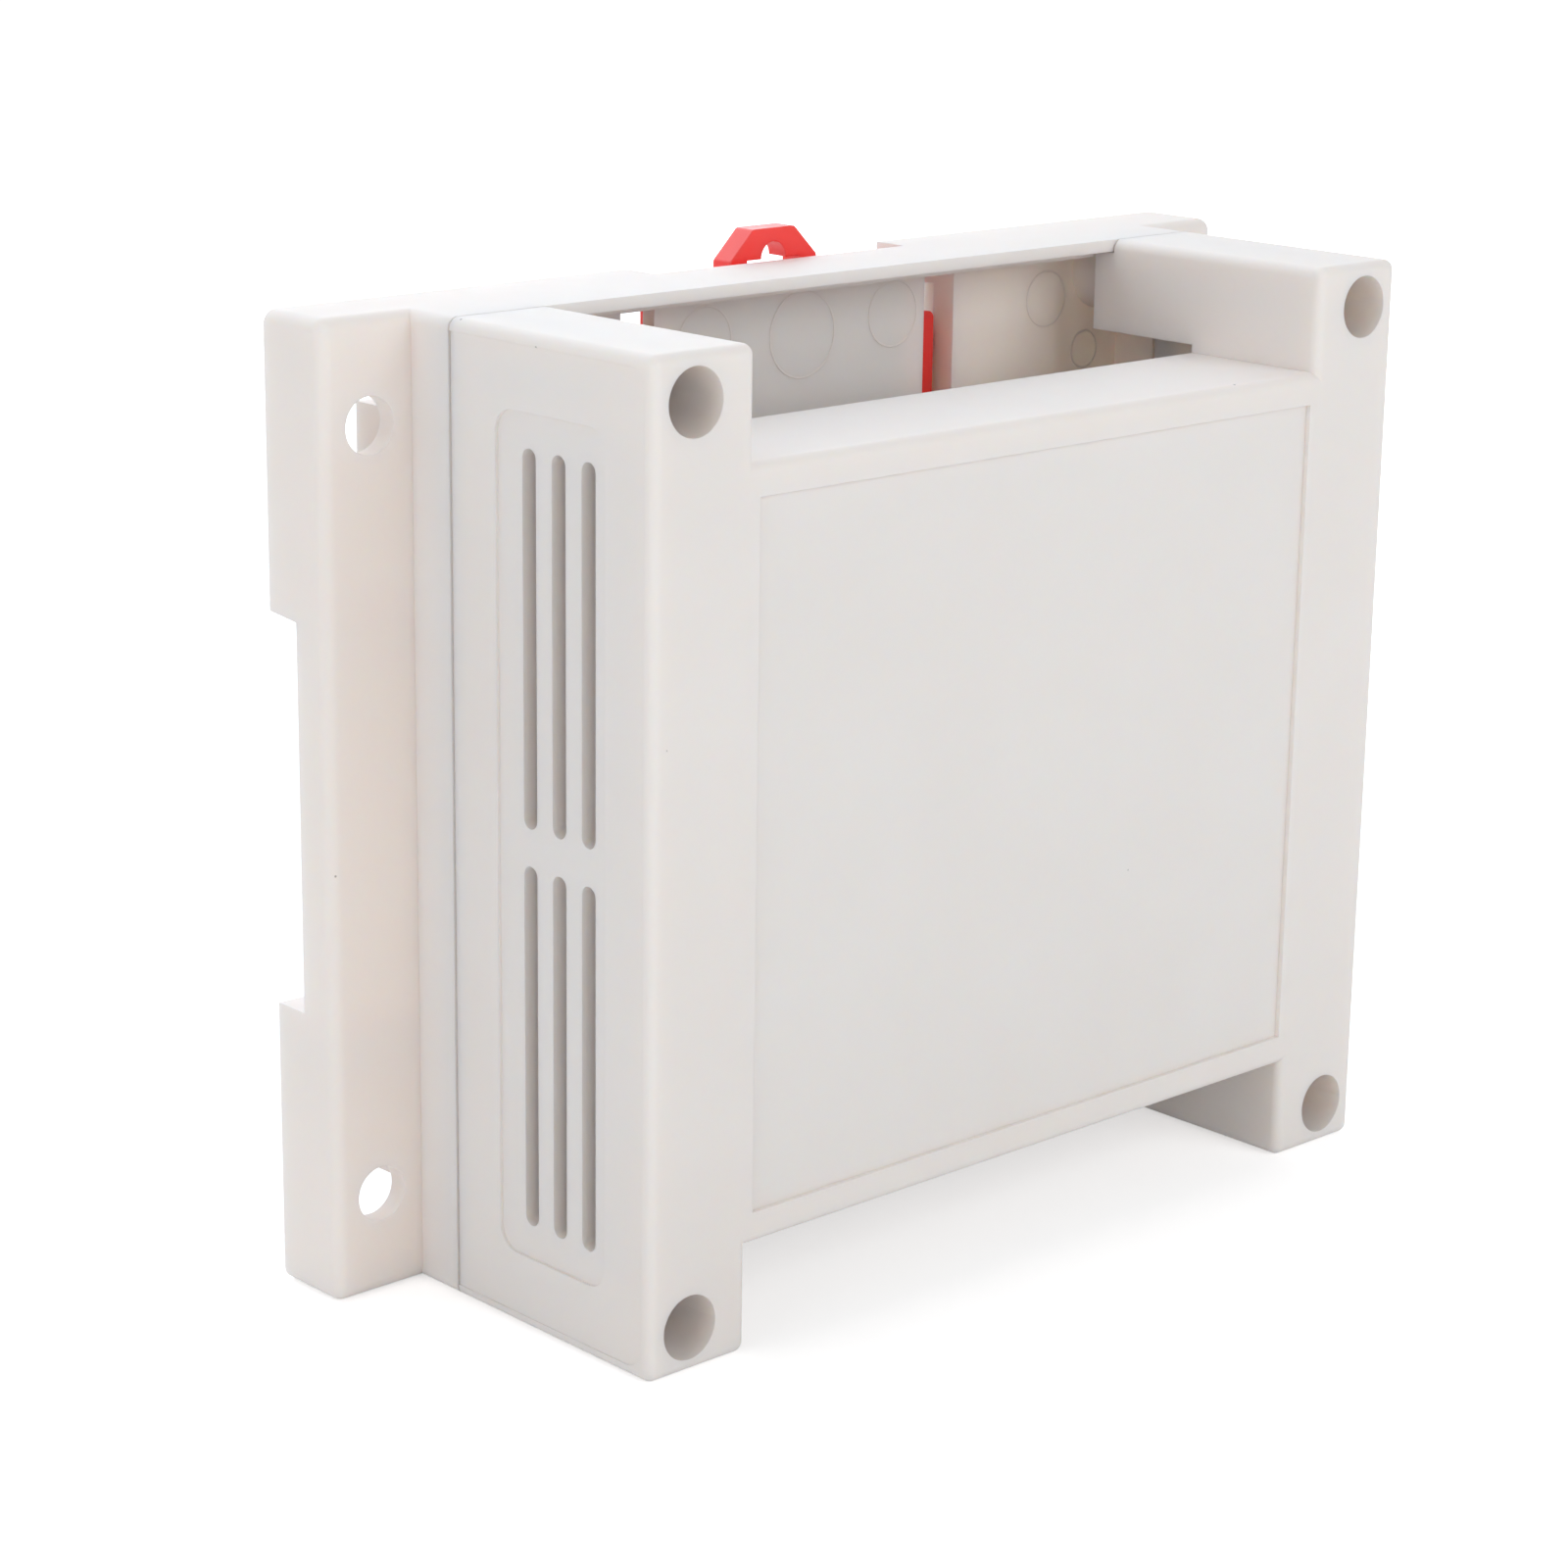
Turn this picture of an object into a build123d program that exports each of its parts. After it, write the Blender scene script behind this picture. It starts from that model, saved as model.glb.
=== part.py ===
import os

from build123d import *

# A rail-mounted enclosure for a small control board, standing on its lower end.
# X is its length, +Z is up, the front cover faces -Y and the rail side faces +Y.
# The origin is under the middle of the box, on the surface that it stands on.

# Overall sizes
length = 115.0
height = 90.0
depth = 40.0

# Moulded walls
wall = 2.0
floor_wall = 1.6
edge_round = 1.0
corner_round = 1.3

# Rear housing: body, side flanges and their fixing holes
body_width = 95.5
base_depth = 13.3
flange_depth = 8.1
fixing_inset_x = 5.2
fixing_inset_z = 9.6
fixing_hole = 5.2
rib_end_gap = 7.0

# Rail channel across the back, for a 35 mm rail
rail_width = 35.0
rail_play = 1.0
channel_depth = 3.9
channel_slope = 0.4
hook_spacing = 56.0
hook_width = 12.0
hook_reach = 1.6
hook_wall = 2.4
hook_chamfer = 1.0

# Joint between the two shells
seam_gap = 0.2
lip_wall = 1.2
lip_depth = 2.6
lip_fit = 0.1
lip_end_gap = 0.3

# Front cover: two columns, a panel between them and the wiring openings
column_width = 11.45
notch_depth = 10.0
ledge_depth = 15.8
skirt_drop = 0.8
label_margin_x = 0.6
label_margin_z = 3.0
label_depth = 0.5
core_edge = 0.1
core_round = 2.0
core_step = 0.12

# Side vents
vent_panel_width = 14.4
vent_panel_margin = 6.8
vent_panel_round = 2.2
vent_panel_depth = 0.4
vent_panel_setback = 6.2
slot_width = 1.8
slot_margin = 3.1
slot_pitch = 3.9
slot_row_gap = 3.4
slot_columns = 3
slot_first = 4.2

# Cover screws in their deep counterbores
screw_inset_x = 4.75
screw_inset_z = 4.2
screw_d = 2.9
screw_length = 10.0
screw_tip = 0.7
head_d = 5.4
head_height = 2.2
head_crown = 0.7
recess_reach = 3.0
recess_slot = 0.7
recess_depth = 1.3
head_fit = 0.3
bore_wall = 1.5
screw_seat = 2.5
clearance_fit = 0.25
thread_fit = 0.02
boss_wall = 2.65
boss_rise = 1.1
boss_spare = 0.6
nose_gap = 0.15

# Red rail clip and its track
slide_fit = 0.25
clip_wall = 2.4
clip_width = 41.7
clip_side_gap = 0.85
arm_width = 2.2
arm_slot = 3.0
arm_root_round = 1.0
neck_gap = 0.6
clip_lift = 1.0
clip_root = 4.0
shoulder_drop = 6.8
neck_drop = 1.6
neck_round = 0.8
barb_reach = 1.5
barb_length = 3.0
barb_depth = 1.2
barb_setback = 1.8
barb_gap = 0.3
travel = 4.0
spine_front = 1.3
spine_wall = 2.4
catch_width = 26.0
catch_reach = 1.9
catch_chamfer = 1.4
tab_rise = 2.9
tab_top = 5.3
tab_base = 11.2
tab_round = 0.5
tab_slot = 6.8
tab_slot_depth = 2.6
tab_arch = 1.6
window_inset = 4.1
lip_overhang = 3.8
lip_start = 5.0
lip_end = 4.0

# Planes, heights and widths that the pieces share
front_y = -depth / 2
back_y = depth / 2
mid_z = height / 2
seam_y = back_y - base_depth
flange_y = back_y - flange_depth
channel_y = back_y - channel_depth
floor_y = channel_y - floor_wall
lip_y = seam_y + lip_depth
channel_width = rail_width + rail_play
channel_low = mid_z - channel_width / 2
channel_high = mid_z + channel_width / 2
inner_width = body_width - 2 * wall
inner_height = height - 2 * wall
column_spacing = body_width - 2 * column_width
ledge_y = front_y + ledge_depth
panel_height = height - 2 * notch_depth
boss_y = seam_y - boss_rise
seat_y = boss_y - screw_seat
bore_d = head_d + 2 * head_fit
track_width = clip_width + 2 * clip_side_gap
neck_width = clip_width - 2 * (arm_width + arm_slot)
clip_y = channel_y + slide_fit
clip_back_y = clip_y + clip_wall
spine_y = channel_y + spine_front
spine_back_y = spine_y + spine_wall
clip_foot = channel_high + clip_lift
shoulder_z = height - shoulder_drop
barb_low = shoulder_z - barb_setback - barb_length
notch_y = clip_back_y - barb_depth - slide_fit


def facing(y, z=mid_z):
    """The plane at depth y that faces the front, with its own origin at height z."""
    return Plane(origin=(0, y, z), x_dir=(1, 0, 0), z_dir=(0, -1, 0))


def beside(x, z=mid_z):
    """The plane at distance x whose own x is +Y, with its own origin at height z."""
    return Plane(origin=(x, 0, z), x_dir=(0, 1, 0), z_dir=(1, 0, 0))


def at_screws():
    """The four cover screws, as seen from the front."""
    return GridLocations(body_width - 2 * screw_inset_x, height - 2 * screw_inset_z, 2, 2)


# Rear housing
with BuildPart() as base:
    # Mounting flanges, rounded all round their front, and the body between them
    with BuildSketch(facing(back_y)):
        Rectangle(length, height)
    extrude(amount=flange_depth)
    flange_front = base.faces().sort_by(Axis.Y)[0].edges()
    fillet(flange_front + base.edges().filter_by(Axis.Y), corner_round)
    with BuildSketch(facing(back_y)):
        Rectangle(body_width, height)
    extrude(amount=base_depth)
    body_edges = base.edges().filter_by(Axis.Y).filter_by_position(Axis.Y, seam_y, flange_y)
    fillet(body_edges, edge_round)

    # Tray for the board, with a thinner lip that the cover's tongue slips into
    with BuildSketch(facing(seam_y)):
        Rectangle(inner_width, inner_height)
    extrude(amount=seam_y - floor_y, mode=Mode.SUBTRACT)
    with BuildSketch(facing(seam_y)):
        Rectangle(body_width - 2 * lip_wall, height - 2 * lip_wall)
    extrude(amount=-lip_depth, mode=Mode.SUBTRACT)

    # Rail channel, its upper flank leaning open
    with BuildSketch(beside(-length / 2)):
        with BuildLine():
            Polyline(
                (channel_y, -channel_width / 2),
                (back_y, -channel_width / 2),
                (back_y, channel_width / 2 + channel_slope),
                (channel_y, channel_width / 2),
                close=True,
            )
        make_face()
    extrude(amount=length, mode=Mode.SUBTRACT)

    # Hollow back: one pocket above the channel and one below it, behind the tray
    pad_height = (height - channel_width) / 2
    pad_pitch = height - pad_height
    pocket_height = pad_height - 2 * wall
    with BuildSketch(facing(channel_y)):
        with GridLocations(0, pad_pitch, 1, 2):
            Rectangle(inner_width, pocket_height)
    extrude(amount=-channel_depth, mode=Mode.SUBTRACT)

    # Hollow flanges, crossed by the flanks of the channel
    flange_hollow = (length - body_width) / 2 - wall
    with BuildSketch(facing(flange_y + wall)):
        with GridLocations(body_width + flange_hollow, 0, 2, 1):
            Rectangle(flange_hollow, channel_width)
        with GridLocations(body_width + flange_hollow, pad_pitch, 2, 2):
            Rectangle(flange_hollow, pocket_height)
    extrude(amount=-(flange_depth - wall), mode=Mode.SUBTRACT)

    # The ribs beside the flange hollows stop short of the ends
    with BuildSketch(facing(channel_y)):
        with GridLocations(body_width - wall, inner_height - rib_end_gap, 2, 2):
            Rectangle(wall, rib_end_gap)
    extrude(amount=-channel_depth, mode=Mode.SUBTRACT)

    # Fixing holes in the flanges
    with BuildSketch(facing(flange_y)):
        with GridLocations(length - 2 * fixing_inset_x, height - 2 * fixing_inset_z, 2, 2):
            Circle(fixing_hole / 2)
    extrude(amount=-wall, mode=Mode.SUBTRACT)

    # Track walls for the clip, standing on the floor above the channel
    track_height = height - wall - channel_high
    with BuildSketch(facing(back_y, channel_high + track_height / 2)):
        with GridLocations(track_width + wall, 0, 2, 1):
            Rectangle(wall, track_height)
    extrude(amount=channel_depth)

    # Gap for the clip through the flank of the channel and through the upper end
    with BuildSketch(facing(back_y, channel_high)):
        Rectangle(track_width, 2 * (wall + channel_slope))
    extrude(amount=channel_depth, mode=Mode.SUBTRACT)
    with BuildSketch(facing(back_y, height)):
        Rectangle(neck_width + 2 * neck_gap, 2 * wall)
    extrude(amount=channel_depth, mode=Mode.SUBTRACT)

    # Lips that hold the clip in its track, and the windows in the floor that mould them
    with BuildSketch(facing(back_y, channel_high + lip_start)):
        with GridLocations(track_width - lip_overhang, 0, 2, 1):
            Rectangle(
                lip_overhang,
                shoulder_z + lip_end - channel_high - lip_start,
                align=(Align.CENTER, Align.MIN),
            )
    extrude(amount=back_y - clip_back_y - slide_fit)
    with BuildSketch(facing(floor_y, channel_high + lip_start)):
        with GridLocations(track_width - window_inset, 0, 2, 1):
            Rectangle(
                window_inset,
                height - wall - channel_high - lip_start,
                align=(Align.CENTER, Align.MIN),
            )
    extrude(amount=-floor_wall, mode=Mode.SUBTRACT)

    # Notches behind the front of the track walls, where the clip's barbs travel
    notch_reach = barb_reach - clip_side_gap + barb_gap
    with BuildSketch(facing(notch_y, barb_low - barb_gap)):
        with GridLocations(track_width + notch_reach, 0, 2, 1):
            Rectangle(
                notch_reach,
                barb_length + travel + 2 * barb_gap,
                align=(Align.CENTER, Align.MIN),
            )
    extrude(amount=notch_y - back_y, mode=Mode.SUBTRACT)

    # Fixed hooks for the lower edge of the rail, with the openings that mould them
    for side in (-1, 1):
        with BuildSketch(beside(side * hook_spacing / 2 - hook_width / 2, channel_low)):
            with BuildLine():
                Polyline(
                    (back_y - hook_wall, -wall),
                    (back_y - hook_wall, hook_reach),
                    (back_y - hook_chamfer, hook_reach),
                    (back_y, hook_reach - hook_chamfer),
                    (back_y, -wall),
                    close=True,
                )
            make_face()
        extrude(amount=hook_width)
    with BuildSketch(facing(floor_y, channel_low)):
        with GridLocations(hook_spacing, 0, 2, 1):
            Rectangle(hook_width, hook_reach, align=(Align.CENTER, Align.MIN))
    extrude(amount=-floor_wall, mode=Mode.SUBTRACT)

    # Bosses for the cover screws, the part in front of the lip clear of the cover's tongue
    boss_d = screw_d + 2 * boss_wall
    with BuildSketch(facing(floor_y)):
        with at_screws():
            Circle(boss_d / 2)
        Rectangle(body_width - wall, height - wall, mode=Mode.INTERSECT)
    extrude(amount=floor_y - lip_y)
    with BuildSketch(facing(floor_y)):
        with at_screws():
            Circle(boss_d / 2)
        Rectangle(
            inner_width - 2 * nose_gap,
            inner_height - 2 * nose_gap,
            mode=Mode.INTERSECT,
        )
    extrude(amount=floor_y - boss_y)
    with BuildSketch(facing(boss_y)):
        with at_screws():
            Circle(screw_d / 2 + thread_fit)
    extrude(amount=-(screw_length - screw_seat + boss_spare), mode=Mode.SUBTRACT)

base.part.label = "base"

# Front cover
with BuildPart() as front_cover:
    # Outer form: two full-height columns and the lower panel between them
    cover_y = seam_y - seam_gap
    with BuildSketch(facing(cover_y)):
        Rectangle(body_width, height)
        Rectangle(column_spacing, height, mode=Mode.SUBTRACT)
    extrude(amount=cover_y - front_y)
    with BuildSketch(facing(ledge_y)):
        Rectangle(body_width - column_width, panel_height)
    extrude(amount=ledge_depth)
    front_edges = front_cover.faces().sort_by(Axis.Y)[0].outer_wire().edges()
    end_edges = front_cover.edges().filter_by(Axis.Y).group_by(Axis.Z)
    fillet(front_edges + end_edges[0] + end_edges[-1], edge_round)

    # Hollow columns, joined to one another behind the panel
    with BuildSketch(facing(front_y + wall)):
        with GridLocations(body_width - column_width, 0, 2, 1):
            Rectangle(column_width - 2 * wall, inner_height)
        Rectangle(inner_width, panel_height - 2 * wall)
    extrude(amount=-(seam_y - front_y), mode=Mode.SUBTRACT)
    with BuildSketch(facing(ledge_y)):
        Rectangle(column_spacing + 2 * wall, panel_height + 2 * skirt_drop)
    extrude(amount=-(seam_y - ledge_y), mode=Mode.SUBTRACT)

    # Tongue behind the columns, inside the housing's lip, and their inner walls as far back
    tongue_inset = lip_wall + lip_fit
    with BuildSketch(facing(cover_y)):
        Rectangle(body_width - 2 * tongue_inset, height - 2 * tongue_inset)
        Rectangle(inner_width, inner_height, mode=Mode.SUBTRACT)
        Rectangle(column_spacing, height, mode=Mode.SUBTRACT)
        with GridLocations(column_spacing + wall, 0, 2, 1):
            Rectangle(wall, height - 2 * tongue_inset)
        Rectangle(
            column_spacing + 2 * wall,
            panel_height + 2 * skirt_drop,
            mode=Mode.SUBTRACT,
        )
    extrude(amount=-(lip_y - lip_end_gap - cover_y))

    # Screw tubes, with their counterbores and the clearance holes in their floors
    with BuildSketch(facing(boss_y)):
        with at_screws():
            Circle(bore_d / 2 + bore_wall)
        Rectangle(body_width - wall, height - wall, mode=Mode.INTERSECT)
    extrude(amount=boss_y - front_y - wall)
    with BuildSketch(facing(front_y)):
        with at_screws():
            Circle(bore_d / 2)
    extrude(amount=-(seat_y - front_y), mode=Mode.SUBTRACT)
    with BuildSketch(facing(seat_y)):
        with at_screws():
            Circle(screw_d / 2 + clearance_fit)
    extrude(amount=-screw_seat, mode=Mode.SUBTRACT)

    # Shallow recess for a label on the panel
    with BuildSketch(facing(front_y)):
        Rectangle(column_spacing - 2 * label_margin_x, panel_height - 2 * label_margin_z)
    extrude(amount=-label_depth, mode=Mode.SUBTRACT)

    # Side faces: the slide core's fine step, the recessed vent panel and its slots
    core_margin = edge_round + core_edge
    core_depth = seam_y - front_y - core_margin + core_round
    vent_panel_y = seam_y - vent_panel_setback - vent_panel_width / 2
    vent_panel_height = height - 2 * vent_panel_margin
    slot_y = seam_y - vent_panel_setback - slot_first - (slot_columns - 1) * slot_pitch / 2
    slot_length = (vent_panel_height - slot_row_gap) / 2 - slot_margin
    for side in (-1, 1):
        side_x = side * body_width / 2
        with BuildSketch(beside(side_x)):
            with Locations((front_y + core_margin + core_depth / 2, 0)):
                RectangleRounded(core_depth, height - 2 * core_margin, core_round)
        extrude(amount=-side * core_step, mode=Mode.SUBTRACT)
        with BuildSketch(beside(side_x)):
            with Locations((vent_panel_y, 0)):
                RectangleRounded(vent_panel_width, vent_panel_height, vent_panel_round)
        extrude(amount=-side * vent_panel_depth, mode=Mode.SUBTRACT)
        with BuildSketch(beside(side_x)):
            with Locations((slot_y, 0)):
                with GridLocations(slot_pitch, slot_length + slot_row_gap, slot_columns, 2):
                    SlotOverall(slot_length, slot_width, rotation=90)
        extrude(amount=-side * wall, mode=Mode.SUBTRACT)

front_cover.part.label = "front_cover"

# Cover screws: pan heads with a cross recess, cutting their own thread in the bosses
with BuildPart() as cover_screws:
    with BuildSketch(facing(seat_y)):
        with at_screws():
            Circle(head_d / 2)
    extrude(amount=head_height)
    crowns = cover_screws.edges().filter_by(GeomType.CIRCLE).group_by(Axis.Y)[0]
    chamfer(crowns, head_crown)
    with BuildSketch(facing(seat_y)):
        with at_screws():
            Circle(screw_d / 2)
    extrude(amount=-screw_length)
    tips = cover_screws.edges().filter_by(GeomType.CIRCLE).group_by(Axis.Y)[-1]
    chamfer(tips, screw_tip)
    with BuildSketch(facing(seat_y - head_height)):
        with at_screws():
            Rectangle(recess_reach, recess_slot)
            Rectangle(recess_slot, recess_reach)
    extrude(amount=-recess_depth, mode=Mode.SUBTRACT)

cover_screws.part.label = "cover_screws"

# Rail clip: a plate with a pull tab, a spring arm at each side and a catch for the rail
with BuildPart() as rail_clip:
    # Plate between the spring arms, all on one root
    with BuildSketch(facing(clip_back_y, clip_foot)):
        Rectangle(clip_width, clip_root, align=(Align.CENTER, Align.MIN))
        Rectangle(neck_width, height - neck_drop - clip_foot, align=(Align.CENTER, Align.MIN))
        with GridLocations(clip_width - arm_width, 0, 2, 1):
            Rectangle(arm_width, shoulder_z - clip_foot, align=(Align.CENTER, Align.MIN))
    extrude(amount=clip_wall)
    arm_roots = rail_clip.edges().filter_by(Axis.Y).group_by(Axis.Z)[1]
    fillet(arm_roots, arm_root_round)
    shoulders = rail_clip.edges().filter_by(Axis.Y).group_by(Axis.Z)[-2].group_by(Axis.X)
    neck_corners = rail_clip.edges().filter_by(Axis.Y).group_by(Axis.Z)[-1]
    fillet(neck_corners + shoulders[0] + shoulders[-1], neck_round)

    # Barbs in the back half of the arms, which stop the clip at both ends of its travel
    with BuildSketch(facing(clip_back_y, barb_low)):
        with GridLocations(clip_width - arm_width + barb_reach, 0, 2, 1):
            Rectangle(arm_width + barb_reach, barb_length, align=(Align.CENTER, Align.MIN))
    extrude(amount=barb_depth)
    barb_tips = rail_clip.edges().filter_by(Axis.Y).group_by(Axis.X)
    for tip in (barb_tips[0], barb_tips[-1]):
        chamfer(tip.group_by(Axis.Z)[-1], barb_reach / 2)

    # Spine behind the plate, from the catch to the pull tab with its slot
    with BuildSketch(facing(spine_back_y, clip_foot)):
        with BuildLine():
            tab_foot = height - clip_foot
            Polyline(
                (-tab_base / 2, 0),
                (-tab_base / 2, tab_foot),
                (-tab_top / 2, tab_foot + tab_rise),
                (tab_top / 2, tab_foot + tab_rise),
                (tab_base / 2, tab_foot),
                (tab_base / 2, 0),
                close=True,
            )
        make_face()
        fillet(vertices().group_by(Axis.Y)[1:], tab_round)
    extrude(amount=spine_wall)
    with BuildSketch(facing(spine_back_y, height)):
        Rectangle(tab_slot, tab_slot_depth, align=(Align.CENTER, Align.MAX))
        Circle(tab_arch)
    extrude(amount=spine_back_y - clip_y, mode=Mode.SUBTRACT)

    # Catch that reaches over the upper edge of the rail, sloped where the rail pushes it up
    with BuildSketch(beside(-catch_width / 2, channel_high)):
        with BuildLine():
            Polyline(
                (spine_y, -catch_reach),
                (spine_back_y - catch_chamfer, -catch_reach),
                (spine_back_y, catch_chamfer - catch_reach),
                (spine_back_y, clip_lift + clip_root),
                (spine_y, clip_lift + clip_root),
                close=True,
            )
        make_face()
    extrude(amount=catch_width)

rail_clip.part.label = "rail_clip"

os.makedirs("parts", exist_ok=True)
export_step(base.part, "parts/base.step")
export_step(front_cover.part, "parts/front_cover.step")
export_step(cover_screws.part, "parts/cover_screws.step")
export_step(rail_clip.part, "parts/rail_clip.step")
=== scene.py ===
import math

import bmesh
import bpy
import numpy as np
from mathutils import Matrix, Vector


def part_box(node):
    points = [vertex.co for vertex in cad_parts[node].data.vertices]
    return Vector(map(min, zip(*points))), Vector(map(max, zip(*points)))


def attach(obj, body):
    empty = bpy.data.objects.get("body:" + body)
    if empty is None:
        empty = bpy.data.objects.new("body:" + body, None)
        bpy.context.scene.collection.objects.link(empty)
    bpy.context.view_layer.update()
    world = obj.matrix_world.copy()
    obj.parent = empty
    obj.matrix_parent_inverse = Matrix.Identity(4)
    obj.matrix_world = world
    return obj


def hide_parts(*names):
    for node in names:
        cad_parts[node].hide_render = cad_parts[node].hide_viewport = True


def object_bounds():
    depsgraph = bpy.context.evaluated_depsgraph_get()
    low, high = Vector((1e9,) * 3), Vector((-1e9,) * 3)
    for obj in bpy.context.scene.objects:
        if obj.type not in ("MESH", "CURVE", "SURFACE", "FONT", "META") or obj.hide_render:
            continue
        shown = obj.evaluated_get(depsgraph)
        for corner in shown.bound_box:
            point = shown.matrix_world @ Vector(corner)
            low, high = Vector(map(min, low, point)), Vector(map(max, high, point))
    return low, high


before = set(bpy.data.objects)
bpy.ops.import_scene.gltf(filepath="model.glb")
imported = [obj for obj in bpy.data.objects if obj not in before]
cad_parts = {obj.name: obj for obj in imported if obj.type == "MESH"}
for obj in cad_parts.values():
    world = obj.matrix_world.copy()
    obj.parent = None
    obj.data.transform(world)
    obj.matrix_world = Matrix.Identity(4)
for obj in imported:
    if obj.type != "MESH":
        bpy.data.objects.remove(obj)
cad_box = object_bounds()
mm = 0.001

# Housing base: the rear shell with its screw flanges, the channel for the mounting rail and the
# clip's track. One moulding in off-white ABS, from a mould that is finely eroded, so its faces are
# satin and not glossy, and its thin walls let a little warm light through.


def node(tree, kind, **settings):
    """Adds one shader node. Plain settings go to its properties, and a dictionary goes to its sockets."""
    made = tree.nodes.new(kind)
    sockets = settings.pop("sockets", {})
    for name, value in settings.items():
        setattr(made, name, value)
    for name, value in sockets.items():
        if isinstance(value, bpy.types.NodeSocket):
            tree.links.new(value, made.inputs[name])
        else:
            made.inputs[name].default_value = value
    return made


def millimetres(tree):
    """The place on the piece, counted in millimetres from the frame's origin."""
    place = node(tree, "ShaderNodeTexCoord").outputs["Object"]
    scale = (1 / mm, 1 / mm, 1 / mm)
    return node(tree, "ShaderNodeMapping", sockets={"Vector": place, "Scale": scale}).outputs["Vector"]


def noise(tree, place, size, detail=2.0):
    """A smooth random field from 0 to 1 whose features are about size millimetres across."""
    sockets = {"Vector": place, "Scale": 1 / size, "Detail": detail}
    return node(tree, "ShaderNodeTexNoise", sockets=sockets).outputs["Fac"]


def stretched(tree, field, start, stop, low, high):
    """A field's stretch from start to stop, turned into low to high and held there beyond it."""
    sockets = {"Value": field, "From Min": start, "From Max": stop, "To Min": low, "To Max": high}
    return node(tree, "ShaderNodeMapRange", sockets=sockets).outputs["Result"]


def spread(tree, field, low, high):
    """The middle part of a random field, stretched over low to high."""
    return stretched(tree, field, 0.3, 0.7, low, high)


def mixed(tree, share, first, second):
    """One colour turning into another as the share goes from 0 to 1. A colour is a triple or a socket."""
    made = node(tree, "ShaderNodeMix", data_type="RGBA")
    tree.links.new(share, made.inputs["Factor"])
    for name, colour in (("A", first), ("B", second)):
        if isinstance(colour, bpy.types.NodeSocket):
            tree.links.new(colour, made.inputs[name])
        else:
            made.inputs[name].default_value = (*colour, 1.0)
    return made.outputs["Result"]


def new_material(name):
    """An empty node material and its output socket."""
    made = bpy.data.materials.new(name)
    made.use_nodes = True
    made.node_tree.nodes.clear()
    return made, node(made.node_tree, "ShaderNodeOutputMaterial").inputs["Surface"]


def moulded_normal(tree, place, edge, grain, strength):
    """The face's direction, rounded over edge millimetres at arrises, with a fine eroded grain on it."""
    grain_height = 0.02 * mm
    rounded = node(tree, "ShaderNodeBevel", samples=4, sockets={"Radius": edge * mm})
    bump = node(
        tree,
        "ShaderNodeBump",
        sockets={
            "Height": noise(tree, place, size=grain, detail=3.0),
            "Strength": strength,
            "Distance": grain_height,
            "Normal": rounded.outputs["Normal"],
        },
    )
    return bump.outputs["Normal"]


def moulded_abs(name, depth=0.5):
    """Off-white ABS with a rare dark speck. Depth is the share of the light that goes on inside it."""
    speck_spacing, speck_reach, speck_strength = 8.4, 0.16, 0.7
    material, surface = new_material(name)
    tree = material.node_tree
    place = millimetres(tree)
    tint = mixed(
        tree,
        spread(tree, noise(tree, place, size=14.0), 0.0, 1.0),
        (0.880, 0.797, 0.753),
        (0.893, 0.812, 0.770),
    )
    nearest = node(tree, "ShaderNodeTexVoronoi", sockets={"Vector": place, "Scale": 1 / speck_spacing})
    reach = speck_reach / speck_spacing
    speck = stretched(tree, nearest.outputs["Distance"], 0.5 * reach, reach, speck_strength, 0.0)
    shader = node(
        tree,
        "ShaderNodeBsdfPrincipled",
        sockets={
            "Base Color": mixed(tree, speck, tint, (0.18, 0.16, 0.15)),
            "Roughness": spread(tree, noise(tree, place, size=3.0), 0.52, 0.60),
            "IOR": 1.53,
            "Specular IOR Level": 0.4,
            "Subsurface Weight": depth,
            "Subsurface Radius": (1.0, 0.7, 0.5),
            "Subsurface Scale": 4.0 * mm,
            "Normal": moulded_normal(tree, place, edge=0.12, grain=0.16, strength=0.10),
        },
    )
    tree.links.new(shader.outputs["BSDF"], surface)
    return material


def dress(piece, material):
    """Gives every slot of a piece the same material."""
    if not piece.data.materials:
        piece.data.materials.append(material)
    for slot in piece.material_slots:
        slot.material = material


shell_plastic = moulded_abs("moulded_abs")
dress(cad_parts["base"], shell_plastic)

# Ejector marks: the rims of the round prints that the mould's pins left on the tray's floor, a hair
# proud of it. They are part of that moulding, in two rows along the long sides.

tray_depth = 5.5 * mm
tray_floor_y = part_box("base")[1][1] - tray_depth
rim_width = 0.2 * mm
rim_rise = 0.05 * mm
rim_shoulder = 0.4
rim_sink = 0.05 * mm
rim_turns = 96
upper_marks = (
    (-11.3, 83.4, 3.4),
    (1.2, 82.9, 4.3),
    (13.3, 83.8, 3.35),
    (35.1, 83.3, 2.9),
    (41.0, 77.6, 2.0),
)


def grid_faces(rows, columns, ring=True):
    """The quads of a grid of points. In a ring the last column joins the first."""
    index = np.arange(rows * columns).reshape(rows, columns)
    if ring:
        index = np.concatenate([index, index[:, :1]], axis=1)
    corners = [index[:-1, :-1], index[:-1, 1:], index[1:, 1:], index[1:, :-1]]
    return np.stack(corners, axis=-1).reshape(-1, 4)


def joined(surfaces):
    """Pairs of points and faces made one pair, each one's faces numbered on from those before it."""
    points = [surface[0].reshape(-1, 3) for surface in surfaces]
    first = np.cumsum([0] + [len(each) for each in points[:-1]])
    faces = [surface[1] + start for surface, start in zip(surfaces, first)]
    return np.concatenate(points), np.concatenate(faces)


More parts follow.
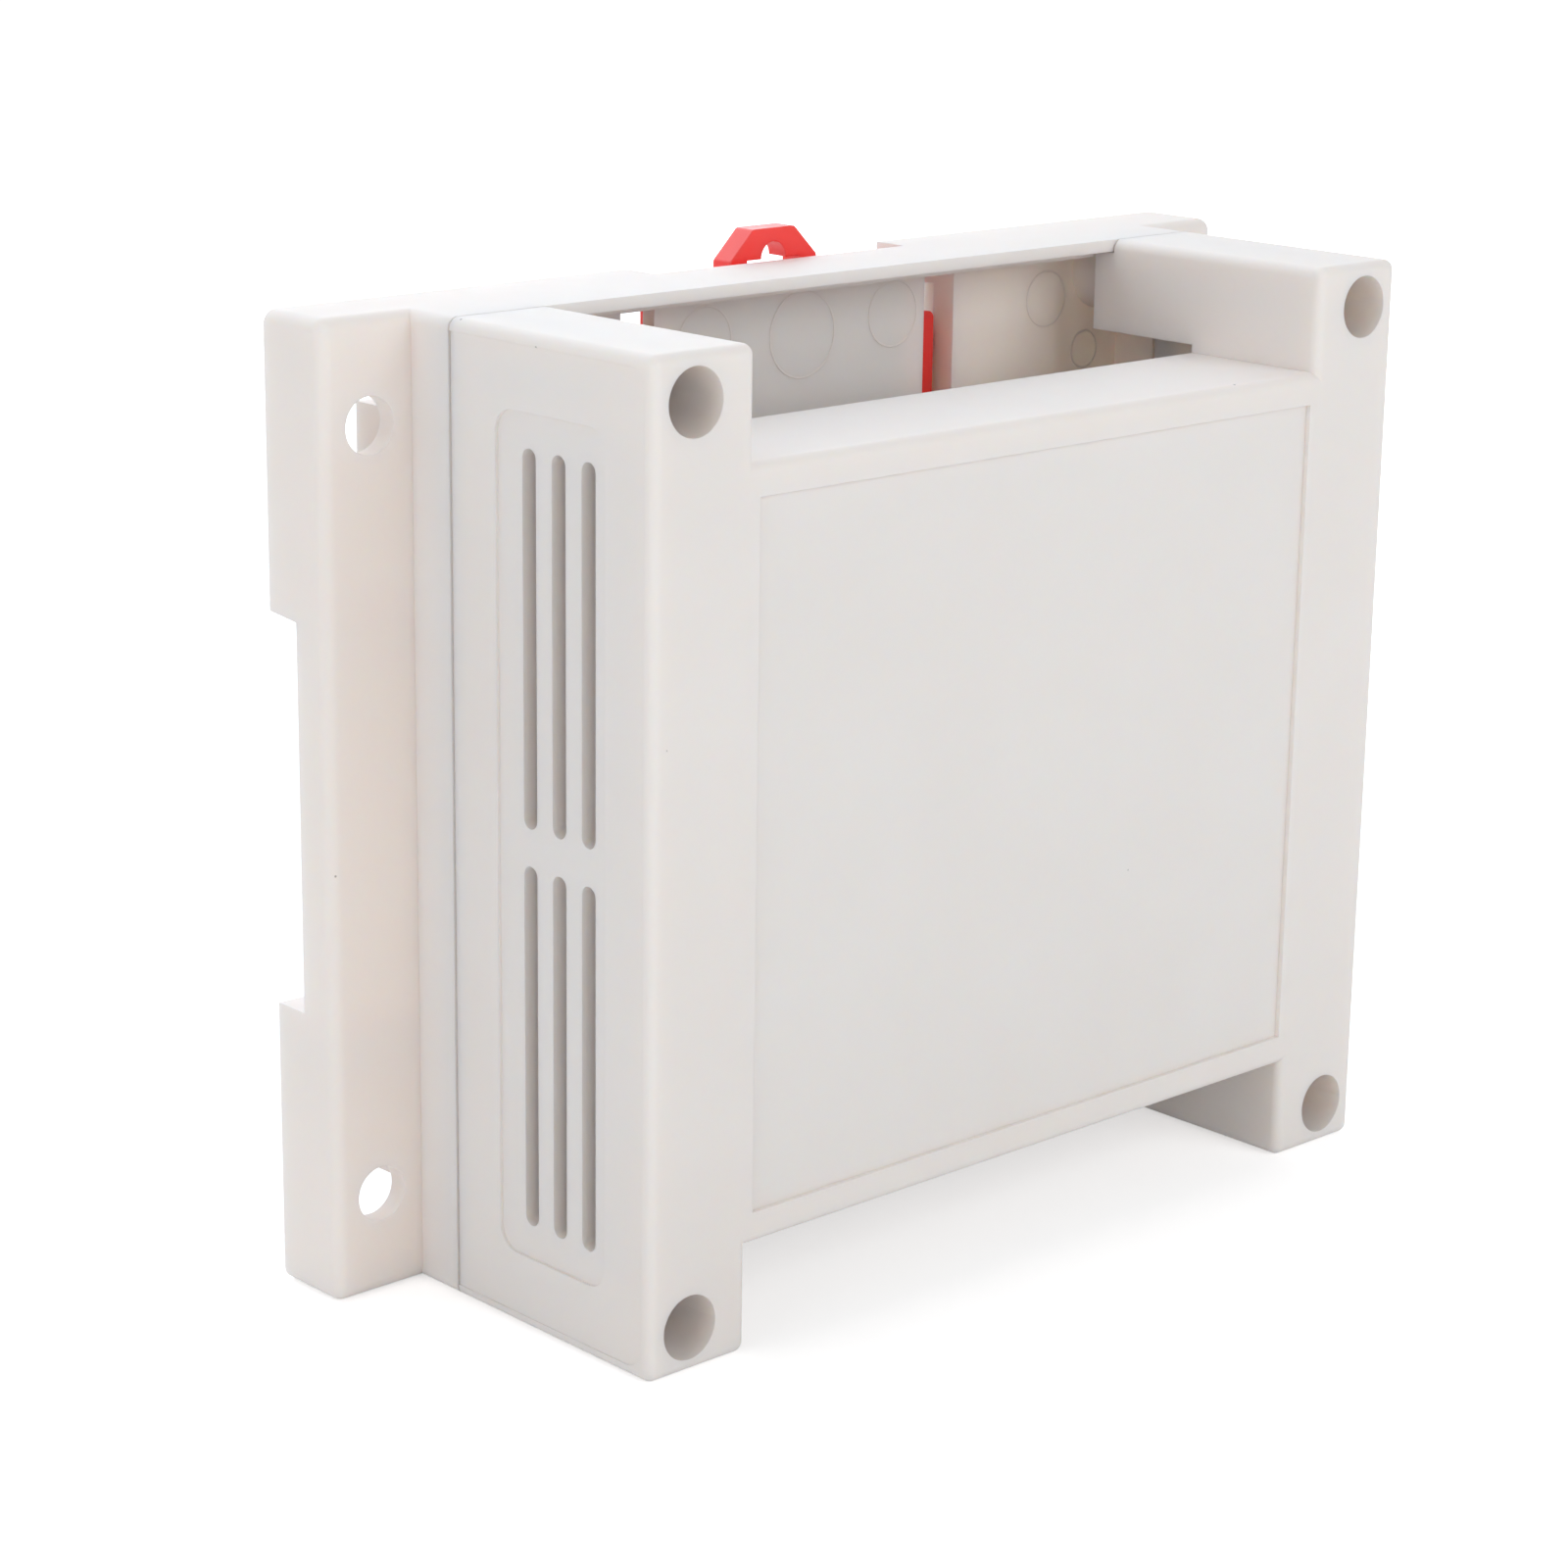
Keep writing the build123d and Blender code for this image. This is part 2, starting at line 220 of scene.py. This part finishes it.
def new_piece(name, points, faces, crease=35.0):
    """A mesh object at the origin: doubles merged, faces outwards, smooth where they turn gently."""
    mesh = bpy.data.meshes.new(name)
    mesh.from_pydata(points.tolist(), [], faces.tolist())
    shape = bmesh.new()
    shape.from_mesh(mesh)
    bmesh.ops.remove_doubles(shape, verts=shape.verts, dist=0.001 * mm)
    bmesh.ops.recalc_face_normals(shape, faces=shape.faces)
    shape.to_mesh(mesh)
    shape.free()
    mesh.shade_smooth()
    mesh.set_sharp_from_angle(angle=math.radians(crease))
    piece = bpy.data.objects.new(name, mesh)
    bpy.context.scene.collection.objects.link(piece)
    return piece


def ejector_mark(x, z, radius):
    """One closed ring around a line along Y: a grid of section points by angles.

    The section is a low ridge with a buried foot, as two arrays: the distance inwards from the
    radius and the height above the floor. Its sides stand up to the rim_shoulder share of its rise,
    and its last point is its first. A point of the ring lies at its distance from the line along
    the angle's cosine and sine, and at its height.
    """
    shoulder = rim_shoulder * rim_rise
    inwards = rim_width * np.array([0.0, 0.0, 0.5, 1.0, 1.0, 0.0])
    rise = np.array([-rim_sink, shoulder, rim_rise, shoulder, -rim_sink, -rim_sink])
    angle = np.linspace(0, 2 * np.pi, rim_turns, endpoint=False)
    reach = (radius - inwards)[:, None]
    height = np.broadcast_to(tray_floor_y - rise[:, None], (rise.size, rim_turns))
    points = [x + reach * np.cos(angle), height, z + reach * np.sin(angle)]
    return np.stack(points, axis=-1), grid_faces(rise.size, rim_turns)


cad_height = cad_box[0][2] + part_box("base")[1][2]
marks = [(x * mm, z * mm, radius * mm) for x, z, radius in upper_marks]
marks += [(x, cad_height - z, radius) for x, z, radius in marks]
ejector_marks = new_piece("ejector_marks", *joined([ejector_mark(*mark) for mark in marks]))
dress(ejector_marks, moulded_abs("rim_abs", depth=0.0))
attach(ejector_marks, "housing")

# Front cover: two columns with deep screw bores, the panel between them and the vented sides.
# The same off-white ABS, moulded against the same kind of eroded steel.

dress(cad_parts["front_cover"], shell_plastic)

# Cover screws: four pan head screws in zinc plated steel, cold headed with a cross recess. They
# sit on the seats deep in the cover's bores and cut their own thread in the base's bosses.

head_radius = 2.7 * mm
head_height = 2.2 * mm
crown_drop = 0.7 * mm
crown_start = 1.6 * mm
recess_half = 0.36 * mm
recess_reach = 1.5 * mm
recess_slope = 0.12 * mm
recess_depth = 1.3 * mm
recess_floor_rise = 0.3
square_part = 1.62 * mm
rounding_power = 0.7
under_head = 0.1 * mm
thread_outer = 1.45 * mm
thread_core = 1.05 * mm
thread_pitch = 1.3 * mm
thread_neck = 0.8 * mm
screw_tip = 1.8 * mm
tip_power = 0.6
rings_per_pitch = 9


def screw_head():
    """The head's upper face, as a square grid drawn out to a disc: across, height, along.

    The grid's lines are close together at the walls of the recess. A point stays where it is up to
    square_part from the middle, counted along the farther axis. From there on it moves smoothly to
    the circle whose radius is that same distance. The crown falls with the square of the distance
    beyond crown_start. The recess is the deeper of two arms, and its floor rises away from the middle.
    """
    walls = [recess_half - recess_slope, recess_half, recess_reach - recess_slope, recess_reach]
    inner = np.array([0.0, 0.62, 1.0]) * mm
    outer = np.array([0.0, 0.18, 0.38, 0.58, 0.78, 0.93, 1.08]) * mm + square_part
    half = np.sort(np.concatenate([walls, inner, outer]))
    line = np.concatenate([-half[:0:-1], half])
    across, along = np.meshgrid(line, line, indexing="ij")
    square = np.maximum(np.abs(across), np.abs(along))
    roundness = np.clip((square - square_part) / (head_radius - square_part), 0, 1) ** rounding_power
    shrink = 1 + roundness * (square / np.maximum(np.hypot(across, along), recess_slope) - 1)
    across, along = across * shrink, along * shrink
    radius = np.hypot(across, along)

    def arm(p, q):
        """One arm of the cross: 1 over its floor, with a ramp down to 0 at each of its walls."""
        side = np.clip((recess_half - np.abs(q)) / recess_slope, 0, 1)
        end = np.clip((recess_reach - np.abs(p)) / recess_slope, 0, 1)
        return side * end

    fall = np.maximum(0, radius - crown_start) / (head_radius - crown_start)
    cross = np.maximum(arm(across, along), arm(along, across))
    recess = cross * (1 - recess_floor_rise * radius / recess_reach)
    height = head_height - crown_drop * fall**2 - recess_depth * recess
    return np.stack([across, height, along], axis=-1)


def screw_shank(angle, length):
    """The head's side, its seat and the threaded shank, as rings of points at the given angles.

    On the shank a ring's radius is the core's plus a ridge, which is the upper half of a triangle
    wave. The wave moves on by one pitch for each turn, right-handed, and fades out below the head
    and towards the tip, where the core itself closes to a point.
    """
    depth = np.linspace(0, length, int(length / thread_pitch * rings_per_pitch))[:, None]
    phase = (depth / thread_pitch + angle / (2 * np.pi)) % 1
    ridge = np.clip(1 - 2 * np.abs(2 * phase - 1), 0, 1)
    to_tip = np.clip((length - depth) / screw_tip, 0, 1)
    fade = np.clip(depth / thread_neck, 0, 1) * to_tip
    shank_radius = thread_core * to_tip**tip_power + (thread_outer - thread_core) * ridge * fade
    head_side = np.array([[head_radius], [head_radius], [head_radius - under_head]])
    head_rise = np.array([[head_height - crown_drop - under_head], [under_head], [0.0]])
    radius = np.concatenate([np.broadcast_to(head_side, (3, angle.size)), shank_radius])
    height = np.broadcast_to(np.concatenate([head_rise, -depth]), radius.shape)
    return np.stack([radius * np.cos(angle), height, radius * np.sin(angle)], axis=-1)


screws_low, screws_high = np.array(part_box("cover_screws"))
seat_y = screws_low[1] + head_height
head = screw_head()
rim = np.concatenate([head[0, :-1], head[:-1, -1], head[-1, :0:-1], head[:0:-1, 0]])
shank = screw_shank(np.arctan2(rim[:, 2], rim[:, 0]), screws_high[1] - seat_y)
side = np.concatenate([rim[None], shank])
screw_points, screw_faces = joined(
    [(head, grid_faces(*head.shape[:2], ring=False)), (side, grid_faces(*side.shape[:2]))]
)
screw_axes = [
    np.array([x, seat_y, z])
    for x in (screws_low[0] + head_radius, screws_high[0] - head_radius)
    for z in (screws_low[2] + head_radius, screws_high[2] - head_radius)
]
copies = [(axis + screw_points * (1, -1, 1), screw_faces) for axis in screw_axes]
cross_screws = new_piece("cross_screws", *joined(copies))


def plated_steel(name):
    """Zinc plating: pale grey metal, a little uneven and lightly brushed by handling."""
    material, surface = new_material(name)
    tree = material.node_tree
    place = millimetres(tree)
    shader = node(
        tree,
        "ShaderNodeBsdfPrincipled",
        sockets={
            "Base Color": mixed(
                tree,
                spread(tree, noise(tree, place, size=0.9), 0.0, 1.0),
                (0.50, 0.51, 0.52),
                (0.66, 0.66, 0.65),
            ),
            "Metallic": 1.0,
            "Roughness": spread(tree, noise(tree, place, size=0.3, detail=4.0), 0.26, 0.42),
        },
    )
    tree.links.new(shader.outputs["BSDF"], surface)
    return material


zinc_plating = plated_steel("zinc_plated_steel")
dress(cross_screws, zinc_plating)
dress(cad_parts["cover_screws"], zinc_plating)
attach(cross_screws, "housing")
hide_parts("cover_screws")

# Rail clip: the sliding foot with its pull tab, spring arms and catch, snapped into the base's
# track. One moulding in bright red plastic, glossier than the housing and slightly translucent.


def red_plastic(name):
    """Red plastic that light enters a few millimetres deep, with a soft gloss."""
    material, surface = new_material(name)
    tree = material.node_tree
    place = millimetres(tree)
    shader = node(
        tree,
        "ShaderNodeBsdfPrincipled",
        sockets={
            "Base Color": mixed(
                tree,
                spread(tree, noise(tree, place, size=6.0), 0.0, 1.0),
                (0.97, 0.038, 0.031),
                (0.99, 0.052, 0.042),
            ),
            "Roughness": spread(tree, noise(tree, place, size=2.0), 0.30, 0.40),
            "IOR": 1.5,
            "Subsurface Weight": 0.6,
            "Subsurface Radius": (1.0, 0.25, 0.20),
            "Subsurface Scale": 3.0 * mm,
            "Normal": moulded_normal(tree, place, edge=0.2, grain=0.3, strength=0.08),
        },
    )
    tree.links.new(shader.outputs["BSDF"], surface)
    return material


dress(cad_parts["rail_clip"], red_plastic("red_plastic"))

# Floor: a plain white table top, wider than the camera sees. To the camera it is white wherever no
# shadow falls on it, and it lights the object as a white card would.

floor_radius = 2.4
floor_drop = 0.05 * mm
floor_turns = 96
card_white = (0.88, 0.88, 0.88, 1.0)


def straight_rays(tree):
    """1 for a ray that comes from the camera, from gloss or through a clear part, and 0 for the rest."""
    rays = node(tree, "ShaderNodeLightPath").outputs
    straight = rays["Is Camera Ray"]
    for kind in ("Is Glossy Ray", "Is Transmission Ray"):
        larger = node(tree, "ShaderNodeMath", operation="MAXIMUM", sockets={0: straight, 1: rays[kind]})
        straight = larger.outputs["Value"]
    return straight


def white_card(name):
    """A matt white that the camera, gloss and clear parts see brighter than it lights the object."""
    near, far = 0.10, 0.60
    lift_near, lift_far = 0.50, 0.90
    material, surface = new_material(name)
    tree = material.node_tree
    straight = straight_rays(tree)
    place = node(tree, "ShaderNodeTexCoord").outputs["Object"]
    away = node(tree, "ShaderNodeVectorMath", operation="LENGTH", sockets={0: place}).outputs["Value"]
    card = node(tree, "ShaderNodeBsdfDiffuse", sockets={"Color": card_white})
    lift = node(
        tree,
        "ShaderNodeEmission",
        sockets={
            "Color": (1, 1, 1, 1),
            "Strength": stretched(tree, away, near, far, lift_near, lift_far),
        },
    )
    both = node(tree, "ShaderNodeAddShader", sockets={0: card.outputs["BSDF"], 1: lift.outputs["Emission"]})
    shown = node(
        tree,
        "ShaderNodeMixShader",
        sockets={0: straight, 1: card.outputs["BSDF"], 2: both.outputs["Shader"]},
    )
    tree.links.new(shown.outputs["Shader"], surface)
    return material


turn = np.linspace(0, 2 * np.pi, floor_turns, endpoint=False)
floor_edge = floor_radius * np.stack([np.cos(turn), np.sin(turn), np.zeros(floor_turns)], axis=-1)
floor_mesh = bpy.data.meshes.new("floor")
floor_mesh.from_pydata((floor_edge - (0, 0, floor_drop)).tolist(), [], [list(range(floor_turns))])
floor = bpy.data.objects.new("floor", floor_mesh)
bpy.context.scene.collection.objects.link(floor)
dress(floor, white_card("white_card"))

# Light: an even white room, with five soft boxes. The key is in front and low, so that it reaches
# the tray's floor, the next three fill the left side, and the last lights the tops from behind.
# All of it is daylight, and the box behind is the coolest.

room_light = 0.2
daylight = (0.96, 0.985, 1.0)
skylight = (0.85, 0.92, 1.0)


def white_room(name):
    """A world that lights the object evenly, and is plain white to the camera, gloss and clear parts."""
    world = bpy.data.worlds.new(name)
    world.use_nodes = True
    world.node_tree.nodes.clear()
    room = world.node_tree
    straight = straight_rays(room)
    light = node(room, "ShaderNodeBackground", sockets={"Color": (*daylight, 1), "Strength": room_light})
    white = node(room, "ShaderNodeBackground", sockets={"Color": (1, 1, 1, 1), "Strength": 1.0})
    sockets = {0: straight, 1: light.outputs["Background"], 2: white.outputs["Background"]}
    both = node(room, "ShaderNodeMixShader", sockets=sockets)
    node(room, "ShaderNodeOutputWorld", sockets={"Surface": both.outputs["Shader"]})
    return world


def soft_box(name, azimuth, elevation, size, watts, colour=daylight, away=1.0):
    """A square area light that looks at the middle of the object from away metres.

    Azimuth 0 is in front of the object and turns to its right, and elevation rises from its middle.
    """
    middle = (np.array(cad_box[0]) + np.array(cad_box[1])) / 2
    turned, raised = math.radians(azimuth), math.radians(elevation)
    direction = (
        math.cos(raised) * math.sin(turned),
        -math.cos(raised) * math.cos(turned),
        math.sin(raised),
    )
    lamp = bpy.data.lights.new(name, "AREA")
    lamp.size = size
    lamp.energy = watts
    lamp.color = colour
    lamp_object = bpy.data.objects.new(name, lamp)
    lamp_object.location = middle + away * np.array(direction)
    lamp_object.rotation_euler = (math.pi / 2 - raised, 0.0, turned)
    lamp_object.visible_camera = False
    bpy.context.scene.collection.objects.link(lamp_object)


bpy.context.scene.world = white_room("white_room")
soft_box("key_box", azimuth=12, elevation=24, size=0.6, watts=4.0)
soft_box("left_box", azimuth=-88, elevation=25, size=0.7, watts=1.5)
soft_box("low_box", azimuth=-80, elevation=8, size=0.6, watts=1.0)
soft_box("corner_box", azimuth=-45, elevation=10, size=0.6, watts=1.35)
soft_box("back_box", azimuth=170, elevation=46, size=1.5, watts=12.2, colour=skylight)

# Camera: where the photograph was taken from, to the left of the front and a little above.

camera_data = bpy.data.cameras.new("camera")
camera_data.sensor_width = 36.0
camera_data.lens = 87.68
camera_data.clip_start = 0.01
camera = bpy.data.objects.new("camera", camera_data)
camera.location = (-248.14 * mm, -250.57 * mm, 139.36 * mm)
camera.rotation_euler = (math.radians(74.461), math.radians(-0.762), math.radians(-42.854))
bpy.context.scene.collection.objects.link(camera)
bpy.context.scene.camera = camera
bpy.context.scene.view_settings.view_transform = "Standard"
